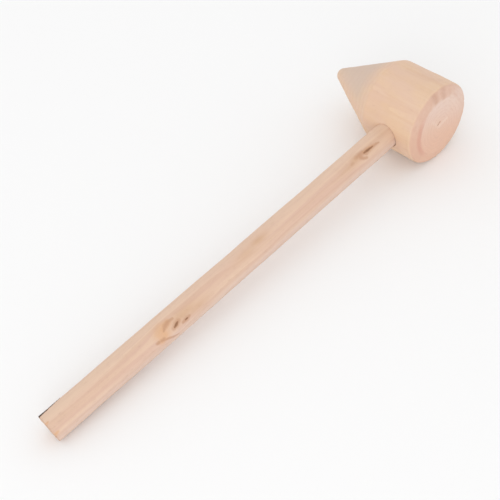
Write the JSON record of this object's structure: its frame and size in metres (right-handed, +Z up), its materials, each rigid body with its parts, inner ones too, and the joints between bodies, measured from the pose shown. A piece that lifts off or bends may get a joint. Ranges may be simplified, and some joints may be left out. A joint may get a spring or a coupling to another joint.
{
  "type": "wooden mallet",
  "caption": "Light wooden mallet: a round head with a bevelled flat striking face and a blunt cone behind it, wedged on a long round handle.",
  "frame": {"origin": "middle of the whole mallet's base as it lies on a flat surface, on the head and the butt's lower edge", "axes": "+Z up, +X along the head's axis from the cone's tip towards the striking face, +Y from the handle's butt towards the head; the handle slopes down 3.5 degrees towards its butt"},
  "size_m": [0.0786, 0.3, 0.05],
  "materials": {
    "head_wood": "pale turned hardwood, bare and satin smooth, with faint long grain and end grain on the striking face",
    "handle_wood": "pale pinkish rod, bare and lightly sanded, with long streaks, two knots and a trace of bark at the butt",
    "wedge_wood": "darker hardwood, bare, sanded flush"
  },
  "bodies": {
    "root": {"mallet_head": "head_wood", "handle": "handle_wood", "handle_wedge": "wedge_wood"}
  },
  "joints": []
}
